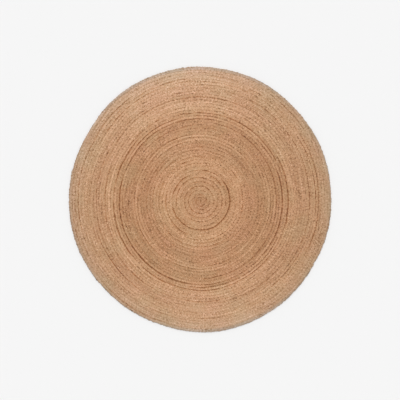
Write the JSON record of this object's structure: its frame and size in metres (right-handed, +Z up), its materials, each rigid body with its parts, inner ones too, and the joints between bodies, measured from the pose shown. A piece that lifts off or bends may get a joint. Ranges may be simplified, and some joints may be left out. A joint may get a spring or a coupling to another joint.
{
  "type": "round jute rug",
  "caption": "Flat round rug of one flat jute braid, coiled from the middle outwards and sewn edge to edge, with a ribbed face and a rolled edge.",
  "frame": {"origin": "on the floor, under the middle of the rug's outline", "axes": "+Z up from the floor through the rug's thickness; +X and +Y lie in the rug's plane, to the right and to the top of the rug seen from above"},
  "size_m": [1.4918, 1.5094, 0.01],
  "materials": {
    "jute": "matte, undyed plaited jute"
  },
  "bodies": {
    "root": {"braid_coil": "jute"}
  },
  "joints": []
}
